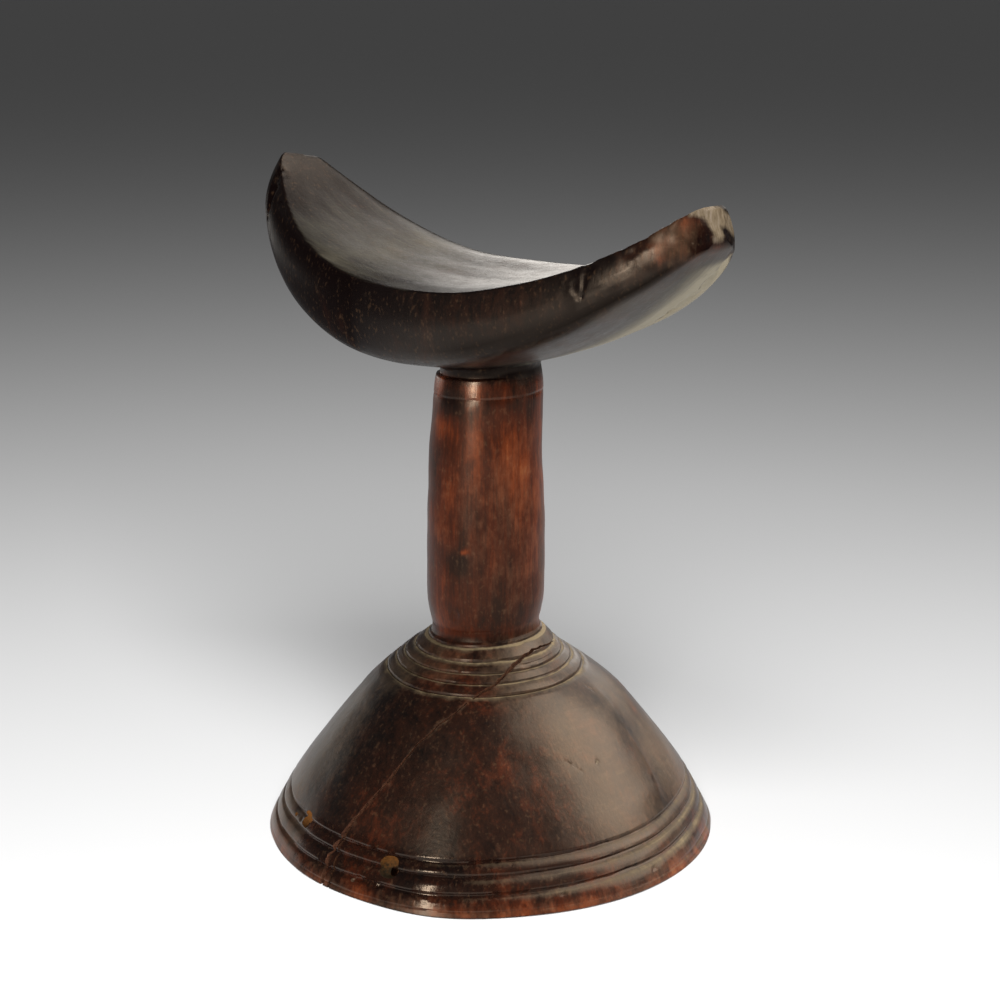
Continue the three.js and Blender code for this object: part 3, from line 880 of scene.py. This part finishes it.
def write_layer(piece, name, values):
    """Paints a layer of values on the piece, for its material to read."""
    layer = piece.data.attributes.get(name) or piece.data.attributes.new(name, "FLOAT", "POINT")
    layer.data.foreach_set("value", values.astype(np.float32))


def fill_new_places(piece, values):
    """Gives the places that the cuts made the mean value of their neighbours."""
    known = read_layer(piece, "known") > 0.5
    ends = np.empty(len(piece.data.edges) * 2, np.int32)
    piece.data.edges.foreach_get("vertices", ends)
    ends = ends.reshape(-1, 2)
    total, count = np.zeros(len(values)), np.zeros(len(values))
    for a, b in ((0, 1), (1, 0)):
        given = known[ends[:, b]]
        np.add.at(total, ends[given, a], values[ends[given, b]])
        np.add.at(count, ends[given, a], 1)
    return np.where(known | (count == 0), values, total / np.maximum(count, 1))


def round_spot(places, middle, reach, power=2):
    """1 at the middle of a spot, fading out round its reach."""
    away = np.linalg.norm(places - np.array(middle), axis=1)
    return np.exp(-((away / reach) ** power))


places = places_of(headrest)
x, y, height = places.T
heading = np.degrees(np.arctan2(y, x - AXIS_X))
facing, rising = normals_of(headrest)[:, 1:].T
on_saddle = between(height, 124, 127)
on_column = zone(height, 54.7, 55.9, 122, 126)
neck = zone(height, 123, 125, 128, 131)
collar = zone(height, 118, 119, 123.5, 124.5)
worn_rim = zone(height, -0.3, 0.7, 0.8, 4.8)

# The seam's lips, rubbed and dusty.
lip = np.zeros(len(places))
for start, end in zip(seam_places[:-1], seam_places[1:]):
    lip = np.maximum(lip, np.clip(1 - from_line(places, start, end) / LIP_REACH, 0, 1))

# How red the wood is: the column most, the saddle least, with patches and slow clouds.
tone = 0.88 * on_column - 0.55 * on_saddle - 0.1 * (1 - on_saddle)
tone += 0.5 * worn_rim * (1 + cloud(places, 5, 33))
round_patches = [(round_place(heading_at, height_at), reach, redder)
                 for heading_at, height_at, reach, redder in ROUND_PATCHES]
for middle, reach, redder in round_patches + SADDLE_PATCHES:
    tone += redder * round_spot(places, middle, reach)
tone += 0.16 * cloud(places, 22, 31) + 0.3 * lip
write_layer(headrest, "tone", tone)

# Dust lies thickest in the lines on the right, and in all of the shoulder's. Making the lines that
# face the right-hand lamp paler this way is also painted light.
toward_right = (0.5 + 0.5 * np.cos(np.radians(heading - 20))) ** 1.5
lying = 0.13 + toward_right**2.2 + 0.25 * cloud(places, 7, 32)
lying += (0.8 * (1 - toward_right) + 0.2) * (height > 40)
dust_and_shade = fill_new_places(headrest, read_layer(headrest, "dust_and_shade"))
dust_and_shade *= np.where(dust_and_shade > 0, lying, 0.7)
dust_and_shade = np.maximum(dust_and_shade, 0.35 * lip)
write_layer(headrest, "dust_and_shade", np.clip(dust_and_shade, 0, 1))

# The dull film, partly painted sheen, and the rubbed rim with a little of it.
film = 0.5 * worn_rim
round_film_and_sheen = [(round_place(heading_at, height_at), reach, strength)
              for heading_at, height_at, reach, strength in ROUND_FILM_AND_SHEEN]
for middle, reach, strength in round_film_and_sheen + [TIP_FILM_AND_SHEEN]:
    film = np.maximum(film, strength * round_spot(places, middle, reach, 4))
write_layer(headrest, "film", film)

# Bare wood, with a ragged border, and the raw wood of the hollow, which no hand has touched.
bare = np.zeros(len(places))
for start, end, reach in BARE:
    away = from_line(places, start, end) / reach
    near = away < 2.5
    away[near] *= 1 + 0.5 * cloud(places[near], 2.2, 41)
    bare = np.maximum(bare, np.clip(1.6 - away, 0, 1))
write_layer(headrest, "bare", bare)
from_axis = np.hypot(x - AXIS_X, y)
write_layer(headrest, "raw", ((height < 36) & (from_axis < 0.85 * foot_radius(height))) * 1.0)

# Haze: a dusty bloom under the right wing and over the left half of the top; under the wing its
# pale grey is also painted reflection of the floor. Painted shade: black in the lines, along the
# top's far edge to hide its reflection, and along the lower edge of the right wing's near side.
top = on_saddle * between(rising, 0.4, 0.9)
over = top * zone(x, -90, -30, -30, 30)
under = on_saddle * between(rising, -0.45, -0.75) * zone(x, -12, 28, 72.5, 77.5)
under *= np.clip(0.85 + y / 16, 0.3, 1.3)
far_edge = on_saddle * zone(facing, 0.08, 0.2, 0.83, 0.93)
far_edge *= (rising > 0.05) * (y > 3)
lower_edge = on_saddle * np.exp(-(((rising + 0.42) / 0.25) ** 2)) * (y < 0)
lower_edge *= zone(x, -2, 23, 72, 78)
write_layer(headrest, "haze_and_reflection", np.maximum(under, 0.55 * over) * (1 - far_edge))
painted_shade = np.maximum(np.maximum(-dust_and_shade, 0.5 * far_edge), 0.75 * lower_edge)
write_layer(headrest, "painted_shade", np.clip(painted_shade, 0, 1))

# Polish: the band's beads on the near left and the collar have the smoothest surface.
beads = zone(height, 1, 2, 12.6, 13.6) * zone(heading, -110, -95, -55, -35)
write_layer(headrest, "polish", np.maximum(beads, 0.5 * collar) - 2 * far_edge)

# Shine: how strongly the surface reflects. Oil has gone from the column, from just above its
# joint, and from the saddle's left side, edges and tip, and the knocked part is patchy.
lit_side = np.exp(-(((heading + 61) / 14) ** 2)) * between(height, 85, 110)
shine = 0.36 - on_column * (0.2 - 0.1 * collar - 0.12 * lit_side)
shine *= 1 - 0.6 * zone(height, 54.5, 55, 57, 58)
shine += 0.06 * on_saddle * between(x, 10, 30) * (rising < 0.3)
left_side = on_saddle * between(rising, 0.72, 0.32) * between(x, 12, -18)
near_edge = top * between(y, -8.5, -22.5) * between(x, 50, 25)
tip = between(x, 74.5, 76) * (rising > -0.3)
worn_off = np.maximum(np.maximum(left_side, far_edge), np.maximum(0.7 * neck, tip))
shine *= (1 - 0.97 * worn_off) * (1 - 0.93 * near_edge) * (1 - 0.85 * lower_edge)
shine *= (1 - 0.3 * np.clip(under, 0, 1)) * (1 - 0.45 * top * between(x, -25, -55))
knocked = between(from_line(places, (53, -22, 153), (75, -8, 166)) / 6, 1.4, 0.4)
shine *= 1 - 0.6 * knocked * np.clip(0.6 + 1.5 * cloud(places, 3.2, 51), 0, 1)
for middle, reach, more in GLINTS:
    shine += more * round_spot(places, middle, reach)
write_layer(headrest, "shine", shine)


def shown(material, low, high, *terms):
    """Where something shows: 0 to 1 as the sum of the terms goes from low to high."""
    made = node(material, "ShaderNodeValToRGB", {"stops": [(low, 0.0), (high, 1.0)]},
                {0: sums(material, *terms)})
    return made.outputs[0]


# Dense close-grained hardwood, knife-finished and polished by hands. To the eye it is a deep
# satin brown with fine upright fibre and soft clouds, and its sheen comes and goes with the oil.
# Fibre and specks are drawn at about 1 mm, coarser than the real pores, so that they show.
painted = {name: node(wood, "ShaderNodeAttribute", {"attribute_name": name}, {}).outputs["Fac"]
           for name in ("tone", "dust_and_shade", "film", "bare", "raw", "haze_and_reflection", "painted_shade", "polish", "shine")}
fibre = grain(wood, wood_place, (1, 1, 0.05), 0.6, 3, 0.6)
streak = grain(wood, wood_place, (1, 1, 0.16), 4.5, 5, 0.55)
mottle = grain(wood, wood_place, (1, 1, 0.6), 12, 6, 0.5)
stain = grain(wood, wood_place, (1, 1, 0.45), 3.4, 5, 0.62)
speck = grain(wood, wood_place, (1, 1, 0.5), 1.2, 5, 0.6)
crumb = grain(wood, wood_place, (1, 1, 0.7), 0.9, 1, 0.5)
combed = grain(wood, wood_place, (0.1, 1, 0.1), 1.1, 4, 0.6)
scratch = grain(wood, wood_place, (0.1, 0.1, 1), 0.5, 4, 0.6)

# The wood itself, redder where it shines in specks. As the shine holds the placed glints and the
# column's lit side, their spots come out redder too: a painted highlight.
kept = node(wood, "ShaderNodeMath", {"operation": "MULTIPLY"}, {0: painted["shine"], 1: speck})
redness = sums(wood, (painted["tone"], 0.42), (fibre, 0.32), (streak, 0.6), (mottle, 0.5),
               (stain, 0.42), (kept.outputs[0], 1.5), -0.9)
body = node(wood, "ShaderNodeValToRGB",
            {"stops": [(0.0, "#0e0808"), (0.28, "#23110b"), (0.5, "#411b0d"), (0.74, "#6b2f13"),
                       (1.0, "#97572a")]}, {0: redness}).outputs[0]

# What lies over it, where it shows, and in what colours.
fleck = shown(wood, 0.72, 0.78, (speck, 0.9), (fibre, 0.25), -0.08)
dirt_fleck = shown(wood, 0.6, 0.76, (crumb, 1.0), (stain, 0.25), -0.125)
scuffed = shown(wood, 0.5, 0.8, (scratch, 1.0), (stain, 0.6), (painted["film"], 0.3), -0.6)
greasy_sheen = shown(wood, 0.1, 0.95, (painted["film"], 0.75), (stain, 0.8), (speck, 0.7), -0.775)
worn = shown(wood, 0.38, 0.92, (painted["bare"], 1.0), (streak, 0.8), (stain, 0.8), -0.8)
veil_and_reflection = shown(wood, 0.25, 1.0, (painted["haze_and_reflection"], 1.0), (combed, 0.9), (mottle, 0.6), -0.75)
settled = shown(wood, 0.16, 0.95, (painted["dust_and_shade"], 1.0), (speck, 0.45), (stain, 0.7), -0.575)
near_bare = node(wood, "ShaderNodeMath", {"operation": "MULTIPLY", "use_clamp": True},
                 {0: painted["bare"], 1: 4.0}).outputs[0]
pale_wood = node(wood, "ShaderNodeValToRGB",
                 {"stops": [(0.25, "#42362b"), (0.5, "#6a5e4d"), (0.75, "#83776a")]},
                 {0: sums(wood, (fibre, 0.8), (streak, 0.5), (speck, 0.4), -0.35)}).outputs[0]
bloom_and_reflection = node(wood, "ShaderNodeValToRGB", {"stops": [(0.45, "#57554a"), (1.0, "#b0a790")]},
             {0: painted["haze_and_reflection"]}).outputs[0]
raw_wood = node(wood, "ShaderNodeValToRGB", {"stops": [(0.0, "#2a1c13"), (1.0, "#553b28")]},
                {0: streak}).outputs[0]
dry_dust = node(wood, "ShaderNodeValToRGB",
                {"stops": [(0.0, "#544a3b"), (0.6, "#615643"), (1.0, "#807259")]},
                {0: settled}).outputs[0]
for where, cover, colour in (
        # Red fibre, crumbs of dirt, level scratches and the dull film of oil, which is partly painted
        # sheen.
        (fleck, 0.18, linear("#a8642f")), (dirt_fleck, 0.12, linear("#7d5f45")),
        (scuffed, 0.16, linear("#8d7660")), (greasy_sheen, 0.42, linear("#6c5a47")),
        # Bare wood, dusty bloom that is also painted reflection under the right wing, painted shade,
        # the hollow's raw wood and the dust in the lines.
        (worn, near_bare, pale_wood), (veil_and_reflection, 0.62, bloom_and_reflection), (painted["painted_shade"], 0.75, linear("#14100c")),
        (painted["raw"], 1.0, raw_wood), (settled, 0.9, dry_dust)):
    amount = node(wood, "ShaderNodeMath", {"operation": "MULTIPLY"}, {0: where, 1: cover})
    laid = node(wood, "ShaderNodeMix", {"data_type": "RGBA"},
                {0: amount.outputs[0], 6: body, 7: colour})
    body = laid.outputs[2]

# Hand polish is fairly smooth, and whatever lies on it is rougher.
gloss = sums(wood, (stain, 0.18), (speck, 0.12), (settled, 0.4), (painted["raw"], 0.4),
             (painted["bare"], 0.25), (painted["painted_shade"], 0.2), (veil_and_reflection, 0.2),
             (painted["polish"], -0.16), 0.19)
relief = sums(wood, (fibre, 0.06), (speck, 0.12), (stain, 0.17), (streak, 0.08), (mottle, 0.3), 0.0)
raised = node(wood, "ShaderNodeBump", {}, {"Strength": 0.5, "Distance": 0.0006, "Height": relief})
shader = node(wood, "ShaderNodeBsdfPrincipled", {},
              {"IOR": 1.5, "Specular Tint": linear("#ffe6cc"), "Base Color": body,
               "Roughness": gloss, "Specular IOR Level": painted["shine"],
               "Normal": raised.outputs[0]})
node(wood, "ShaderNodeOutputMaterial", {}, {"Surface": shader.outputs[0]})

CRISP_ANGLE = math.radians(48)
headrest.data.shade_smooth()
headrest.data.set_sharp_from_angle(angle=CRISP_ANGLE)
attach(headrest, "root")
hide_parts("headrest")

# The floor. One sheet of pale matt paper, which gives no reflection, only an even grey. It is
# wide enough to reach the horizon.
FLOOR_HALF = 200

floor_mesh = bpy.data.meshes.new("floor")
corners = [(-FLOOR_HALF, -FLOOR_HALF, 0), (FLOOR_HALF, -FLOOR_HALF, 0),
           (FLOOR_HALF, FLOOR_HALF, 0), (-FLOOR_HALF, FLOOR_HALF, 0)]
floor_mesh.from_pydata(corners, [], [(0, 1, 2, 3)])
floor = bpy.data.objects.new("floor", floor_mesh)
bpy.context.scene.collection.objects.link(floor)
paper, _ = new_material("pale_matt_paper")
shader = node(paper, "ShaderNodeBsdfPrincipled", {},
              {"Base Color": linear("#cfcfcf"), "Roughness": 0.9})
node(paper, "ShaderNodeOutputMaterial", {}, {"Surface": shader.outputs[0]})
floor_mesh.materials.append(paper)

# The studio. Soft panels on stands, each lighting either the headrest or the floor alone, as a
# photographer shades one from the other. Each has a middle, a side's direction, two lengths and
# its watts. Places are metres to the right, ahead and up as the camera sees the headrest.
CAMERA_HEADING = math.radians(45.27)
CAMERA_PLACE = (0.34534, -0.33605, 0.21677)
CAMERA_DOWN = math.radians(14.87)
CAMERA_LENS = 68.26
PANEL_TARGET = Vector((0, 0, 0.1))
PANEL_COLOUR = "#fffaf3"
FLOOR_LAMP_COLOUR = "#ffffff"
AIR_COLOUR = "#b4b4b4"
AIR_STRENGTH = 0.17
PANELS = [
    # High on the right: the broad pale sheen down the dome, the wing and the column's right edge.
    ("right_panel", headrest, (0.68, -0.04, 0.72), (0, 1, 0), (0.8, 1.05), 17),
    # Behind: the bright far part of the saddle's top, and a low strip for the part nearer by.
    ("back_panel", headrest, (0.59, 1.0, 0.72), (1, 0, 0), (1.3, 1.1), 6.9),
    ("low_back_strip", headrest, (0.22, 1.1, 0.32), (1, 0, 0), (0.6, 0.34), 1.75),
    # Low on the left behind: a faint grey on the dome's left side.
    ("low_left_strip", headrest, (-0.75, 0.75, 0.06), (0.7, 0.7, 0), (0.7, 0.1), 0.42),
    # A narrow upright strip at the left front: the small bright lights on the band and collar.
    ("front_left_strip", headrest, (-0.62, -0.98, 0.42), (0, 0, 1), (0.8, 0.12), 11),
    # The floor's own lamp, near and low: white in front, falling off to dark grey far behind.
    ("floor_panel", floor, (0, -0.52, 0.62), (1, 0, 0), (0.5, 0.5), 14.4),
]


def studio_place(right, ahead, up):
    """A place in the scene from one that is given as the camera sees it."""
    return Vector((right * math.cos(CAMERA_HEADING) - ahead * math.sin(CAMERA_HEADING),
                   right * math.sin(CAMERA_HEADING) + ahead * math.cos(CAMERA_HEADING), up))


for name, lit, middle, along, size, power in PANELS:
    light = bpy.data.lights.new(name, "AREA")
    light.shape = "RECTANGLE"
    light.size, light.size_y = size
    light.energy = power
    light.color = linear(PANEL_COLOUR if lit == headrest else FLOOR_LAMP_COLOUR)[:3]
    panel = bpy.data.objects.new(name, light)
    back = (studio_place(*middle) - PANEL_TARGET).normalized()
    level = studio_place(*along)
    level = (level - back * level.dot(back)).normalized()
    turned = Matrix((level, back.cross(level), back)).transposed().to_4x4()
    panel.matrix_world = Matrix.Translation(studio_place(*middle)) @ turned
    panel.visible_camera = False
    panel.light_linking.receiver_collection = bpy.data.collections.new("lit_by_" + name)
    panel.light_linking.receiver_collection.objects.link(lit)
    bpy.context.scene.collection.objects.link(panel)

world = bpy.data.worlds.new("studio_air")
world.use_nodes = True
world.node_tree.nodes["Background"].inputs["Color"].default_value = linear(AIR_COLOUR)
world.node_tree.nodes["Background"].inputs["Strength"].default_value = AIR_STRENGTH
bpy.context.scene.world = world

camera = bpy.data.objects.new("camera", bpy.data.cameras.new("camera"))
camera.data.lens = CAMERA_LENS
camera.data.sensor_width = 36
camera.location = CAMERA_PLACE
camera.rotation_euler = (math.pi / 2 - CAMERA_DOWN, 0, CAMERA_HEADING)
bpy.context.scene.collection.objects.link(camera)
bpy.context.scene.camera = camera
bpy.context.scene.view_settings.view_transform = "Standard"
